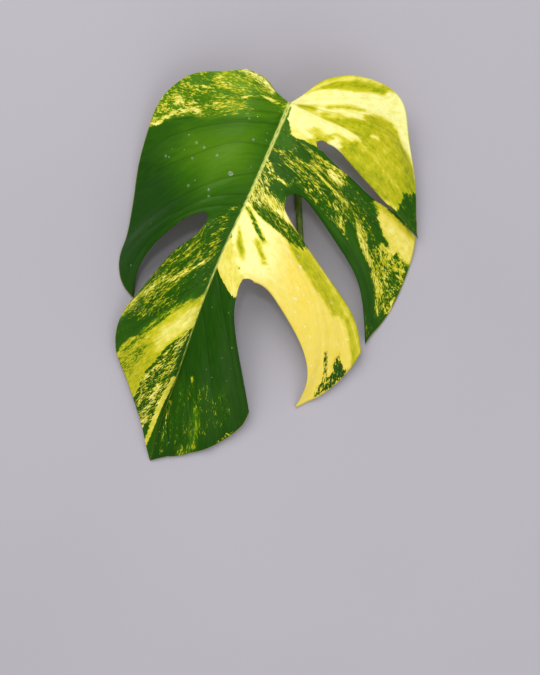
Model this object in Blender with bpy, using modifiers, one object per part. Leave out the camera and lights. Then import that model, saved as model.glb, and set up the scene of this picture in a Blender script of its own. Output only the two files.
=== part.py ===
"""A variegated split monstera leaf, picked with its stalk and lying upper side up.

Two pieces: the blade, a thin arched sheet with its midrib standing out below, and the petiole,
the round leaf stalk that bends back under the blade from the swollen knee at its base.
The blade is a loft through its side veins.  Each vein leaves the midrib at a stated distance
from the base, runs through a few plan points to the margin, and carries the height of the arch
beside the midrib and the height of the margin.  Where two lobes part, both lobes share the
vein's inner stretch and then go their own ways round the slit.
Lengths below are in millimetres with the base of the midrib at X 0, Y 0 and the leaf's tip
towards -Y; the finished model is in metres with its origin under the middle of its box.
"""
import math

import bmesh
import bpy
import numpy as np
from mathutils import Vector

MM = 0.001
NAME = "monstera_leaf"

BLADE_THICKNESS = 0.6
MIDRIB_DEPTH = 4.0
MIDRIB_TIP_DEPTH = 0.9
# How far to each side of its line the midrib stands out below the blade
MIDRIB_FOOT = 4.5

# The midrib from the base to the leaf's tip
MIDRIB = [(0, 0, 34), (-1, -29, 37), (-3, -68, 38), (-6, -107, 36), (-7, -140, 32),
          (-6.5, -170, 26), (-5.5, -202, 17), (-5, -230, 8), (-3, -256, 1)]
TIP_START = 262.0

# How far along a vein the slits between the lobes begin, as a fraction of the vein
SLIT_AT = 0.22
INNER_STEPS = (0.0, 0.025, 0.06, 0.11, 0.165)
OUTER_STEPS = 12
MIDRIB_STEP = 7.0
FAN_STEP = 5.0
MIDRIB_SAMPLES = 600
# Makes the arch's curve v (1 - v)^2, which peaks at a third of the vein, one high there
ARCH_SCALE = 6.75
WELD_GAP = 0.02
SLIT_END_RADIUS = 7.0
SLIT_END_SMOOTHING = 3

# The stalk's centre line from its cut end up to the knee, and its radii
PETIOLE_ROUTE = [(79, -146, 2.9), (60, -117, 2.6), (42, -87, 2.5), (29, -58, 2.6), (17, -34, 4.2),
                 (7, -17, 10.5), (1.8, -8.6, 19), (0, -5.6, 26.5), (-0.3, -5.3, 30.6)]
PETIOLE_RADIUS = 2.2
PETIOLE_CUT_RADIUS = 2.8
CUT_FLARE = 14.0
KNEE_RADIUS = 3.3
KNEE_LENGTH = 24.0
PETIOLE_POINTS = 56


def vein(start, plan, arch, margin, stem=0, lift=0.0):
    """One guide vein.

    start is its distance along the midrib and plan its points as far as the margin.  arch is how
    high the blade arches over the vein, and margin the height of its end.  On a slit, stem counts
    the points up to the slit's inner end, and lift raises this side of the slit.
    """
    return {"start": start, "plan": plan, "arch": arch, "margin": margin, "stem": stem,
            "lift": lift}


UPPER_LEFT_LOBE = [
    vein(0, [(-10, 3), (-20, 9), (-35, 11)], 3, 31),
    vein(0, [(-18, 3), (-35, 6), (-51, 4)], 5, 27),
    vein(0, [(-25, -2), (-50, -5), (-70, -5)], 7, 20),
    vein(0, [(-27, -9), (-56, -19), (-82, -23)], 8, 13),
    vein(8, [(-25, -16), (-57, -31), (-84, -42)], 8, 9),
    vein(16, [(-23, -23), (-43, -32), (-68, -48), (-83, -61)], 8, 6),
    vein(32, [(-24, -38), (-48, -55), (-68, -72), (-79, -85)], 8, 4),
    vein(50, [(-20, -61), (-38, -76), (-57, -98), (-72, -122)], 7, 2),
    vein(66, [(-25, -76), (-48, -98), (-65, -123), (-70.5, -139)], 6, 1),
    vein(74, [(-25, -83), (-46, -102), (-59, -128), (-62, -152)], 5.5, 1),
    vein(79, [(-25, -88), (-30, -90), (-41, -101), (-51, -119), (-56, -137), (-53, -157)],
         5, 2, stem=1),
]
LOWER_LEFT_LOBE = [
    vein(79, [(-25, -88), (-24, -95), (-34, -114), (-45, -138), (-52, -157)], 5, 2,
         stem=1, lift=10),
    vein(98, [(-21, -117), (-40, -145), (-56, -171)], 4, 7),
    vein(122, [(-20, -142), (-37, -167), (-53, -190)], 3, 5),
    vein(150, [(-20, -170), (-34, -187), (-44, -203)], 2.5, 4),
    vein(185, [(-16, -199), (-24, -209), (-30, -219)], 2, 3.5),
    vein(222, [(-9, -229), (-12, -234), (-15, -238)], 1, 3),
    vein(TIP_START, [(-3, -256)], 0, 1),
]
FIRST_RIGHT_LOBE = [
    vein(0, [(5, 6), (16, 22), (31, 31)], 4, 37),
    vein(0, [(14, 11), (32, 23), (51, 34)], 8, 32),
    vein(0, [(20, 9), (45, 21), (69, 29)], 10, 24),
    vein(0, [(24, 4), (54, 11), (81, 11)], 11, 16),
    vein(0, [(25, 2), (54, 5), (78, 0), (95, -13)], 11, 11),
    vein(0, [(25, -5), (48, -6), (69, -14), (90, -29), (108, -42)], 10, 8),
    vein(9, [(13, -15), (26, -19), (33, -17), (49, -22), (70, -32), (88, -40), (113, -51)],
         8, 2, stem=2, lift=4),
]
SECOND_RIGHT_LOBE = [
    vein(9, [(13, -15), (26, -19), (34, -24), (56, -32), (75, -38.5), (94, -42), (111, -50.5)],
         8, 2, stem=2, lift=-0.5),
    vein(18, [(28, -30), (66, -47), (92, -58), (114, -68)], 7, 0.5),
    vein(31, [(21, -38), (46, -48), (68, -62), (90, -83), (111, -111)], 6, 0.5),
    vein(38, [(24, -48), (60, -67), (89, -91), (107, -122)], 5, 1),
    vein(45, [(18, -59), (20, -57), (25, -55), (39, -60), (63, -76), (84, -93), (98, -115),
              (105, -130)], 5, 2, stem=1),
]
THIRD_RIGHT_LOBE = [
    vein(45, [(18, -59), (19, -63), (23, -68), (44, -84), (71, -102), (93, -119), (104, -136)],
         5, 2, stem=1, lift=5),
    vein(54, [(17, -68), (50, -94), (84, -126), (101, -150)], 5, 5),
    vein(62, [(22, -80), (52, -101), (79, -134), (92, -169)], 4.5, 3),
    vein(70, [(28, -90), (54, -109), (73, -134), (81, -158), (82, -181)], 4, 1),
    vein(95, [(13, -122), (18, -119.5), (26, -119), (38, -125), (55, -138), (69, -152),
              (77, -169), (76, -186)], 3, 0.5, stem=1),
]
LOWER_RIGHT_LOBE = [
    vein(95, [(13, -122), (12.7, -127), (14, -138), (21, -155), (38, -184), (48, -201)], 3, 0.5,
         stem=1, lift=7.5),
    vein(118, [(6, -140), (26, -174), (47, -211)], 3, 5.5),
    vein(145, [(6, -168), (20, -196), (37, -227)], 2.5, 3.5),
    vein(178, [(4, -200), (14, -220), (21, -241)], 2, 2),
    vein(215, [(0, -230), (4, -238), (7, -249)], 1, 1.5),
    vein(TIP_START, [(-3, -256)], 0, 1),
]
LEFT_LOBES = [UPPER_LEFT_LOBE, LOWER_LEFT_LOBE]
RIGHT_LOBES = [FIRST_RIGHT_LOBE, SECOND_RIGHT_LOBE, THIRD_RIGHT_LOBE, LOWER_RIGHT_LOBE]


def chord_lengths(points):
    """Running length of a polyline, starting at zero."""
    steps = np.sqrt((np.diff(points, axis=0) ** 2).sum(axis=1))
    return np.concatenate(([0.0], np.cumsum(steps)))


def smooth_curve(points, at, knots=None):
    """Natural cubic spline through points, read at the places at (0 to 1 without knots)."""
    points = np.array(points, dtype=float)
    if knots is None:
        knots = chord_lengths(points)
        knots = knots / knots[-1]
    last = len(points) - 1
    step = np.diff(knots)
    system = np.eye(last + 1)
    target = np.zeros_like(points)
    for i in range(1, last):
        system[i, i - 1:i + 2] = step[i - 1], 2 * (step[i - 1] + step[i]), step[i]
        ahead = (points[i + 1] - points[i]) / step[i]
        behind = (points[i] - points[i - 1]) / step[i - 1]
        target[i] = 6 * (ahead - behind)
    bend = np.linalg.solve(system, target)
    i = np.clip(np.searchsorted(knots, at, side="right") - 1, 0, last - 1)
    width = step[i][:, None]
    to_next = (knots[i + 1] - at)[:, None]
    from_here = (at - knots[i])[:, None]
    cubic = (bend[i] * to_next ** 3 + bend[i + 1] * from_here ** 3) / (6 * width)
    left = (points[i] / width - bend[i] * width / 6) * to_next
    right = (points[i + 1] / width - bend[i + 1] * width / 6) * from_here
    return cubic + left + right


MIDRIB_CURVE = smooth_curve(MIDRIB, np.linspace(0, 1, MIDRIB_SAMPLES))
MIDRIB_LENGTHS = chord_lengths(MIDRIB_CURVE)
MIDRIB_LENGTH = MIDRIB_LENGTHS[-1]


def on_midrib(distances):
    """Points on the midrib at distances from its base."""
    columns = [np.interp(distances, MIDRIB_LENGTHS, MIDRIB_CURVE[:, axis]) for axis in range(3)]
    return np.stack(columns, axis=-1)


def plan_offsets(guide, fractions):
    """A guide vein's plan offsets from its start on the midrib."""
    start = on_midrib(guide["start"])[:2]
    points = [tuple(start)] + guide["plan"]
    if guide["start"] >= MIDRIB_LENGTH:
        return np.zeros((len(fractions), 2))
    if guide["stem"] == 0:
        return smooth_curve(points, fractions) - start
    inner = guide["stem"] + 1
    stem = smooth_curve(points[:inner], np.clip(fractions / SLIT_AT, 0, 1))
    branch = smooth_curve(points[inner - 1:], np.clip((fractions - SLIT_AT) / (1 - SLIT_AT), 0, 1))
    on_stem = fractions <= SLIT_AT + 1e-9
    return np.where(on_stem[:, None], stem, branch) - start


def midrib_stations():
    """Distances along the midrib where rows of the blade start, with every slit's own start."""
    starts = {float(lobe[-1]["start"]) for lobe in LEFT_LOBES[:-1] + RIGHT_LOBES[:-1]}
    fixed = [0.0] + sorted(starts) + [MIDRIB_LENGTH]
    stations = [0.0]
    for near, far in zip(fixed, fixed[1:]):
        count = max(1, round((far - near) / MIDRIB_STEP))
        stations += list(np.linspace(near, far, count + 1)[1:])
    return np.array(stations)


def vein_fractions():
    """Places along every vein, closest beside the midrib."""
    outer = np.linspace(SLIT_AT, 1, OUTER_STEPS + 1)
    return np.concatenate((INNER_STEPS, outer))


def lobe_rows(guides, stations, fractions):
    """The lobe as rows of points: one row per vein, from the midrib to the margin."""
    offsets = np.array([plan_offsets(guide, fractions) for guide in guides])
    starts = np.array([min(guide["start"], MIDRIB_LENGTH) for guide in guides], dtype=float)
    places = offsets + on_midrib(starts)[:, None, :2]
    gaps = np.sqrt((np.diff(places, axis=0) ** 2).sum(axis=2)).mean(axis=1)
    knots = np.concatenate(([0.0], np.cumsum(gaps)))
    fan = int((starts == starts[0]).sum()) - 1
    at = []
    row_starts = []
    if fan > 0:
        count = math.ceil(knots[fan] / FAN_STEP)
        at += list(np.linspace(0, knots[fan], count + 1)[:-1])
        row_starts += [starts[0]] * count
    inside = stations[(stations >= starts[0] - 1e-6) & (stations <= starts[-1] + 1e-6)]
    at += list(np.interp(inside, starts[fan:], knots[fan:]))
    row_starts += list(inside)
    at = np.array(at)
    begin = on_midrib(np.array(row_starts))
    shape = (len(at), len(fractions))
    plan = smooth_curve(offsets.reshape(len(guides), -1), at, knots).reshape(shape + (2,))
    numbers = np.array([[guide["arch"], guide["margin"], guide["lift"]] for guide in guides])
    arch, margin, lift = (column[:, None] for column in smooth_curve(numbers, at, knots).T)
    v = fractions[None, :]
    past_slit = np.clip((v - SLIT_AT) / (1 - SLIT_AT), 0, 1)
    rows = np.zeros(shape + (3,))
    rows[:, :, :2] = begin[:, None, :2] + plan
    mid = begin[:, 2:3]
    hump = ARCH_SCALE * v * (1 - v) ** 2
    rows[:, :, 2] = mid + (margin - mid) * v ** 2 + arch * hump + lift * past_slit ** 2
    return rows


def add_lobe(mesh, rows, flip):
    """Put one lobe's faces, upper side up, into mesh."""
    verts = [[mesh.verts.new(point * MM) for point in row] for row in rows]
    for this, after in zip(verts, verts[1:]):
        for j in range(len(this) - 1):
            corners = [this[j], this[j + 1], after[j + 1], after[j]]
            if flip:
                corners.reverse()
            mesh.faces.new(corners)


def midrib_depth(distance):
    """How deep the midrib is below the blade's upper side at a distance from the base."""
    return MIDRIB_TIP_DEPTH + (MIDRIB_DEPTH - MIDRIB_TIP_DEPTH) * (1 - distance / MIDRIB_LENGTH)


def build_blade():
    """The blade: the lofted upper side, thickened downwards, most along the midrib."""
    stations = midrib_stations()
    fractions = vein_fractions()
    mesh = bmesh.new()
    for guides in LEFT_LOBES:
        add_lobe(mesh, lobe_rows(guides, stations, fractions), flip=False)
    for guides in RIGHT_LOBES:
        add_lobe(mesh, lobe_rows(guides, stations, fractions), flip=True)
    bmesh.ops.remove_doubles(mesh, verts=mesh.verts, dist=WELD_GAP * MM)
    bmesh.ops.dissolve_degenerate(mesh, edges=mesh.edges, dist=WELD_GAP * MM)
    for guides in [LEFT_LOBES[0]] + RIGHT_LOBES[:-1]:
        slit = guides[-1]
        inner_end = Vector(slit["plan"][slit["stem"] - 1]) * MM
        near = [v for v in mesh.verts if (v.co.xy - inner_end).length < SLIT_END_RADIUS * MM]
        for _ in range(SLIT_END_SMOOTHING):
            bmesh.ops.smooth_vert(mesh, verts=near, factor=0.5, use_axis_x=True, use_axis_y=True,
                                  use_axis_z=True)
    bmesh.ops.triangulate(mesh, faces=mesh.faces)
    data = bpy.data.meshes.new("leaf_blade")
    mesh.to_mesh(data)
    mesh.free()
    data.shade_smooth()
    blade = bpy.data.objects.new("leaf_blade", data)

    # Full weight is the midrib's depth at the base; no weight is the thin blade
    group = blade.vertex_groups.new(name="midrib")
    for vert in data.vertices:
        point = np.array(vert.co) / MM
        gaps = np.sqrt(((MIDRIB_CURVE - point) ** 2).sum(axis=1))
        nearest = int(gaps.argmin())
        closeness = max(0.0, 1 - gaps[nearest] / MIDRIB_FOOT)
        extra = midrib_depth(MIDRIB_LENGTHS[nearest]) - BLADE_THICKNESS
        weight = closeness * extra / (MIDRIB_DEPTH - BLADE_THICKNESS)
        if weight > 0:
            group.add([vert.index], min(1.0, weight), "REPLACE")
    solidify = blade.modifiers.new("thickness", "SOLIDIFY")
    solidify.thickness = MIDRIB_DEPTH * MM
    solidify.offset = -1
    solidify.vertex_group = group.name
    solidify.thickness_vertex_group = BLADE_THICKNESS / MIDRIB_DEPTH
    solidify.use_even_offset = False
    return blade


def petiole_radius(distance, length):
    """Radius of the stalk at a distance from its cut end."""
    flare = (PETIOLE_CUT_RADIUS - PETIOLE_RADIUS) * math.exp(-distance / CUT_FLARE)
    into_knee = min(1.0, max(0.0, (distance - (length - KNEE_LENGTH)) / (KNEE_LENGTH / 2)))
    swelling = (KNEE_RADIUS - PETIOLE_RADIUS) * into_knee ** 2 * (3 - 2 * into_knee)
    return PETIOLE_RADIUS + flare + swelling


def build_petiole():
    """The stalk: a round tube on a smooth route, flat at its cut end, thick at the knee."""
    points = smooth_curve(PETIOLE_ROUTE, np.linspace(0, 1, PETIOLE_POINTS))
    distances = chord_lengths(points)
    curve = bpy.data.curves.new("petiole", "CURVE")
    curve.dimensions = "3D"
    curve.bevel_depth = MM
    curve.bevel_resolution = 3
    curve.use_fill_caps = True
    spline = curve.splines.new("POLY")
    spline.points.add(len(points) - 1)
    for control, point, distance in zip(spline.points, points, distances):
        control.co = (*(point * MM), 1)
        control.radius = petiole_radius(distance, distances[-1])
    return bpy.data.objects.new("petiole", curve)


def add_material(thing, name, colour, roughness):
    """Give an object its own plain material."""
    material = bpy.data.materials.new(name)
    material.use_nodes = True
    shader = material.node_tree.nodes["Principled BSDF"]
    shader.inputs["Base Color"].default_value = (*colour, 1)
    shader.inputs["Roughness"].default_value = roughness
    thing.data.materials.append(material)


def world_corners(things):
    """Lowest and highest corner of some objects as they are evaluated."""
    graph = bpy.context.evaluated_depsgraph_get()
    points = []
    for thing in things:
        final = thing.evaluated_get(graph)
        mesh = final.to_mesh()
        points += [thing.matrix_world @ vert.co for vert in mesh.vertices]
        final.to_mesh_clear()
    low = Vector([min(point[axis] for point in points) for axis in range(3)])
    high = Vector([max(point[axis] for point in points) for axis in range(3)])
    return low, high


def main():
    for thing in list(bpy.data.objects):
        bpy.data.objects.remove(thing, do_unlink=True)
    parts = bpy.data.collections.new(NAME)
    bpy.context.scene.collection.children.link(parts)

    blade = build_blade()
    add_material(blade, "leaf_blade", (0.10, 0.22, 0.02), 0.35)
    petiole = build_petiole()
    add_material(petiole, "petiole", (0.16, 0.24, 0.04), 0.45)
    for thing in (blade, petiole):
        parts.objects.link(thing)
    bpy.context.view_layer.update()

    # The blade's lowest lobe and the stalk both rest on Z 0
    for thing in (blade, petiole):
        thing.location.z = -world_corners([thing])[0].z
    bpy.context.view_layer.update()
    low, high = world_corners([blade, petiole])
    middle = (low + high) / 2
    for thing in (blade, petiole):
        thing.location.x = -middle.x
        thing.location.y = -middle.y


main()
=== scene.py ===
"""A variegated split monstera leaf lying upper side up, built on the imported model's frame.

The blade is a loft through its side veins, as in the CAD part, on a much finer net.  Its relief,
its colour fields and its vein coordinates are worked out on that net in leaf millimetres: the
base of the midrib at X 0, Y 0 and the leaf's tip towards -Y.  The leaf is then moved onto the
CAD blade's box.
"""
import math

import bmesh
import bpy
import numpy as np
from mathutils import Matrix, Vector
from mathutils.bvhtree import BVHTree


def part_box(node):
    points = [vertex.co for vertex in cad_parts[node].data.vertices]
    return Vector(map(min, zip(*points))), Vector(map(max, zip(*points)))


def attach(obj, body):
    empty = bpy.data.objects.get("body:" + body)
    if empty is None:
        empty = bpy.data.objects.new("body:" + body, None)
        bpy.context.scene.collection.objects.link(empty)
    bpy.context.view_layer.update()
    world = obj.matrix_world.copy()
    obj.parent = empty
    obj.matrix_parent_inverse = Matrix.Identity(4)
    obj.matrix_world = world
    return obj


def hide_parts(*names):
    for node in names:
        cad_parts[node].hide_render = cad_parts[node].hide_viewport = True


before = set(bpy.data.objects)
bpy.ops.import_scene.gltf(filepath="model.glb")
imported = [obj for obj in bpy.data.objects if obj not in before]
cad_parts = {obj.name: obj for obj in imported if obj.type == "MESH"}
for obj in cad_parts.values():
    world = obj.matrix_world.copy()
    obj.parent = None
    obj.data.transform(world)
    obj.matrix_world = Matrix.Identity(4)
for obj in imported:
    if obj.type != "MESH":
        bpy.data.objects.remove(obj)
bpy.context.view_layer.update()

MM = 0.001

# ---------------------------------------------------------------- blade shape
MIDRIB = [(0, 0, 34), (-1, -29, 37), (-3, -68, 38), (-6, -107, 36), (-7, -140, 32),
          (-6.5, -170, 26), (-5.5, -202, 17), (-5, -230, 8), (-3, -256, 1)]
TIP_START = 262.0
SLIT_AT = 0.22
INNER_STEPS = (0, 0.005, 0.011, 0.018, 0.027, 0.038, 0.05, 0.065, 0.08, 0.097, 0.115, 0.135,
               0.155, 0.175, 0.197)
OUTER_STEPS = 52
ROW_STEP = 1.4
SLIT_END_RADIUS = 7.0
SLIT_END_SMOOTHING = 30

BLADE_THICKNESS = 0.6
MIDRIB_DEPTH = 4.0
MIDRIB_TIP_DEPTH = 0.9
MIDRIB_FOOT = 4.5
VEIN_DEPTH = 1.1
# Makes the arch of a vein as high as its guide says, a third of the way out
ARCH_SCALE = 6.75


def vein(start, plan, arch, margin, stem=0, lift=0.0):
    """One guide vein: its start along the midrib, its plan points, and the heights of its arch,
    its margin and its side of a slit.  stem counts the points up to a slit's inner end."""
    return {"start": start, "plan": plan, "arch": arch, "margin": margin, "stem": stem,
            "lift": lift}


UPPER_LEFT_LOBE = [
    vein(0, [(-10, 3), (-20, 9), (-35, 11)], 3, 31),
    vein(0, [(-18, 3), (-35, 6), (-51, 4)], 5, 27),
    vein(0, [(-25, -2), (-50, -5), (-70, -5)], 7, 20),
    vein(0, [(-27, -9), (-56, -19), (-82, -23)], 8, 13),
    vein(8, [(-25, -16), (-57, -31), (-84, -42)], 8, 9),
    vein(16, [(-23, -23), (-43, -32), (-68, -48), (-83, -61)], 8, 6),
    vein(32, [(-24, -38), (-48, -55), (-68, -72), (-79, -85)], 8, 4),
    vein(50, [(-20, -61), (-38, -76), (-57, -98), (-72, -122)], 7, 2),
    vein(66, [(-25, -76), (-48, -98), (-65, -123), (-70.5, -139)], 6, 1),
    vein(74, [(-25, -83), (-46, -102), (-59, -128), (-62, -152)], 5.5, 1),
    vein(79, [(-25, -88), (-30, -90), (-41, -101), (-51, -119), (-56, -137), (-53, -157)],
         5, 2, stem=1),
]
LOWER_LEFT_LOBE = [
    vein(79, [(-25, -88), (-24, -95), (-34, -114), (-45, -138), (-52, -157)], 5, 2,
         stem=1, lift=10),
    vein(98, [(-21, -117), (-40, -145), (-56, -171)], 4, 7),
    vein(122, [(-20, -142), (-37, -167), (-53, -190)], 3, 5),
    vein(150, [(-20, -170), (-34, -187), (-44, -203)], 2.5, 4),
    vein(185, [(-16, -199), (-24, -209), (-30, -219)], 2, 3.5),
    vein(222, [(-9, -229), (-12, -234), (-15, -238)], 1, 3),
    vein(TIP_START, [(-3, -256)], 0, 1),
]
FIRST_RIGHT_LOBE = [
    vein(0, [(5, 6), (16, 22), (31, 31)], 4, 37),
    vein(0, [(14, 11), (32, 23), (51, 34)], 8, 32),
    vein(0, [(20, 9), (45, 21), (69, 29)], 10, 24),
    vein(0, [(24, 4), (54, 11), (81, 11)], 11, 16),
    vein(0, [(25, 2), (54, 5), (78, 0), (95, -13)], 11, 11),
    vein(0, [(25, -5), (48, -6), (69, -14), (90, -29), (108, -42)], 10, 8),
    vein(9, [(13, -15), (26, -19), (33, -17), (49, -22), (70, -32), (88, -40), (113, -51)],
         8, 2, stem=2, lift=4),
]
SECOND_RIGHT_LOBE = [
    vein(9, [(13, -15), (26, -19), (34, -24), (56, -32), (75, -38.5), (94, -42), (111, -50.5)],
         8, 2, stem=2, lift=-0.5),
    vein(18, [(28, -30), (66, -47), (92, -58), (114, -68)], 7, 0.5),
    vein(31, [(21, -38), (46, -48), (68, -62), (90, -83), (111, -111)], 6, 0.5),
    vein(38, [(24, -48), (60, -67), (89, -91), (107, -122)], 5, 1),
    vein(45, [(18, -59), (20, -57), (25, -55), (39, -60), (63, -76), (84, -93), (98, -115),
              (105, -130)], 5, 2, stem=1),
]
THIRD_RIGHT_LOBE = [
    vein(45, [(18, -59), (19, -63), (23, -68), (44, -84), (71, -102), (93, -119), (104, -136)],
         5, 2, stem=1, lift=5),
    vein(54, [(17, -68), (50, -94), (84, -126), (101, -150)], 5, 5),
    vein(62, [(22, -80), (52, -101), (79, -134), (92, -169)], 4.5, 3),
    vein(70, [(28, -90), (54, -109), (73, -134), (81, -158), (82, -181)], 4, 1),
    vein(95, [(13, -122), (18, -119.5), (26, -119), (38, -125), (55, -138), (69, -152),
              (77, -169), (76, -186)], 3, 0.5, stem=1),
]
LOWER_RIGHT_LOBE = [
    vein(95, [(13, -122), (12.7, -127), (14, -138), (21, -155), (38, -184), (48, -201)], 3, 0.5,
         stem=1, lift=7.5),
    vein(118, [(6, -140), (26, -174), (47, -211)], 3, 5.5),
    vein(145, [(6, -168), (20, -196), (37, -227)], 2.5, 3.5),
    vein(178, [(4, -200), (14, -220), (21, -241)], 2, 2),
    vein(215, [(0, -230), (4, -238), (7, -249)], 1, 1.5),
    vein(TIP_START, [(-3, -256)], 0, 1),
]
LEFT_LOBES = [UPPER_LEFT_LOBE, LOWER_LEFT_LOBE]
RIGHT_LOBES = [FIRST_RIGHT_LOBE, SECOND_RIGHT_LOBE, THIRD_RIGHT_LOBE, LOWER_RIGHT_LOBE]


def chord_lengths(points):
    """Running length of a polyline, starting at zero."""
    steps = np.sqrt((np.diff(points, axis=0) ** 2).sum(axis=1))
    return np.concatenate(([0.0], np.cumsum(steps)))


def smooth_curve(points, at, knots=None):
    """Natural cubic spline through points, read at the places at (0 to 1 without knots)."""
    points = np.array(points, dtype=float)
    if knots is None:
        knots = chord_lengths(points)
        knots = knots / knots[-1]
    last = len(points) - 1
    step = np.diff(knots)
    system = np.eye(last + 1)
    target = np.zeros_like(points)
    for i in range(1, last):
        system[i, i - 1:i + 2] = step[i - 1], 2 * (step[i - 1] + step[i]), step[i]
        ahead = (points[i + 1] - points[i]) / step[i]
        behind = (points[i] - points[i - 1]) / step[i - 1]
        target[i] = 6 * (ahead - behind)
    bend = np.linalg.solve(system, target)
    i = np.clip(np.searchsorted(knots, at, side="right") - 1, 0, last - 1)
    width = step[i][:, None]
    to_next = (knots[i + 1] - at)[:, None]
    from_here = (at - knots[i])[:, None]
    cubic = (bend[i] * to_next ** 3 + bend[i + 1] * from_here ** 3) / (6 * width)
    left = (points[i] / width - bend[i] * width / 6) * to_next
    right = (points[i + 1] / width - bend[i + 1] * width / 6) * from_here
    return cubic + left + right


MIDRIB_CURVE = smooth_curve(MIDRIB, np.linspace(0, 1, 600))
MIDRIB_LENGTHS = chord_lengths(MIDRIB_CURVE)
MIDRIB_LENGTH = MIDRIB_LENGTHS[-1]


def on_midrib(distances):
    """Points on the midrib at distances from its base."""
    columns = [np.interp(distances, MIDRIB_LENGTHS, MIDRIB_CURVE[:, axis]) for axis in range(3)]
    return np.stack(columns, axis=-1)


def plan_offsets(guide, fractions):
    """A guide vein's plan offsets from its start on the midrib."""
    start = on_midrib(guide["start"])[:2]
    points = [tuple(start)] + guide["plan"]
    if guide["start"] >= MIDRIB_LENGTH:
        return np.zeros((len(fractions), 2))
    if guide["stem"] == 0:
        return smooth_curve(points, fractions) - start
    inner = guide["stem"] + 1
    stem = smooth_curve(points[:inner], np.clip(fractions / SLIT_AT, 0, 1))
    branch = smooth_curve(points[inner - 1:], np.clip((fractions - SLIT_AT) / (1 - SLIT_AT), 0, 1))
    on_stem = fractions <= SLIT_AT + 1e-9
    return np.where(on_stem[:, None], stem, branch) - start


def vein_fractions():
    """Places along every vein, closest beside the midrib."""
    outer = np.linspace(SLIT_AT, 1, OUTER_STEPS + 1)
    return np.concatenate((INNER_STEPS, outer))


def row_places(starts, knots, stations):
    """Where the rows of a lobe lie: between its guides as knots, with a row on every guide."""
    places = []
    for k in range(len(starts) - 1):
        if starts[k + 1] - starts[k] < 1e-6:
            count = max(1, round((knots[k + 1] - knots[k]) / ROW_STEP))
            places += list(np.linspace(knots[k], knots[k + 1], count + 1)[:-1])
        else:
            inside = stations[(stations >= starts[k] - 1e-6) & (stations < starts[k + 1] - 1e-6)]
            places += list(np.interp(inside, starts[k:k + 2], knots[k:k + 2]))
    return np.array(places + [knots[-1]])


def midrib_stations(lobes):
    """Distances along the midrib where rows start, with every guide's own start."""
    starts = {0.0, MIDRIB_LENGTH}
    for guides in lobes:
        starts |= {min(float(guide["start"]), MIDRIB_LENGTH) for guide in guides}
    starts = sorted(starts)
    stations = [0.0]
    for near, far in zip(starts, starts[1:]):
        count = max(1, round((far - near) / ROW_STEP))
        stations += list(np.linspace(near, far, count + 1)[1:])
    return np.array(stations)


def lobe_net(guides, stations, fractions):
    """A lobe's net of points, with what its relief and colours need at each point."""
    offsets = np.array([plan_offsets(guide, fractions) for guide in guides])
    starts = np.array([min(guide["start"], MIDRIB_LENGTH) for guide in guides], dtype=float)
    places = offsets + on_midrib(starts)[:, None, :2]
    gaps = np.sqrt((np.diff(places, axis=0) ** 2).sum(axis=2)).mean(axis=1)
    knots = np.concatenate(([0.0], np.cumsum(gaps)))
    at = row_places(starts, knots, stations)
    begin = on_midrib(np.interp(at, knots, starts))
    shape = (len(at), len(fractions))
    plan = smooth_curve(offsets.reshape(len(guides), -1), at, knots).reshape(shape + (2,))
    numbers = np.array([[guide["arch"], guide["margin"], guide["lift"]] for guide in guides])
    arch, margin, lift = (column[:, None] for column in smooth_curve(numbers, at, knots).T)
    v = fractions[None, :]
    past_slit = np.clip((v - SLIT_AT) / (1 - SLIT_AT), 0, 1)
    points = np.zeros(shape + (3,))
    points[:, :, :2] = begin[:, None, :2] + plan
    mid = begin[:, 2:3]
    hump = ARCH_SCALE * v * (1 - v) ** 2
    points[:, :, 2] = mid + (margin - mid) * v ** 2 + arch * hump + lift * past_slit ** 2

    along = np.zeros(shape)
    along[:, 1:] = np.cumsum(np.linalg.norm(np.diff(points, axis=1), axis=2), axis=1)
    rows = [int(np.abs(at - knot).argmin()) for knot in knots]
    return {"points": points, "along": along, "at": at, "rows": rows, "guides": guides,
            "fractions": fractions}


# ---------------------------------------------------------------- colour fields
def patch(outline, pale=None, cream=None, green=None, gold=None, edge=1.2, width=None):
    """A patch of colour inside an outline, or along it when a width is given.

    pale runs from 0, all green, to 1, all pale, with flecks in between.  cream runs from 0,
    lime, to 1, cream.  green runs from 0, dark, to 1, light.  gold warms the pale colour.
    """
    levels = {"pale": pale, "cream": cream, "green": green, "gold": gold}
    return {"outline": outline, "levels": levels, "edge": edge, "width": width}


def streak(width, path, *levels, **named):
    """A patch of colour along a path, as far as width to each side."""
    return patch(path, *levels, **named, width=width)


GROUND = {"pale": 0.0, "cream": 0.45, "green": 0.15, "gold": 0.0}

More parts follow.
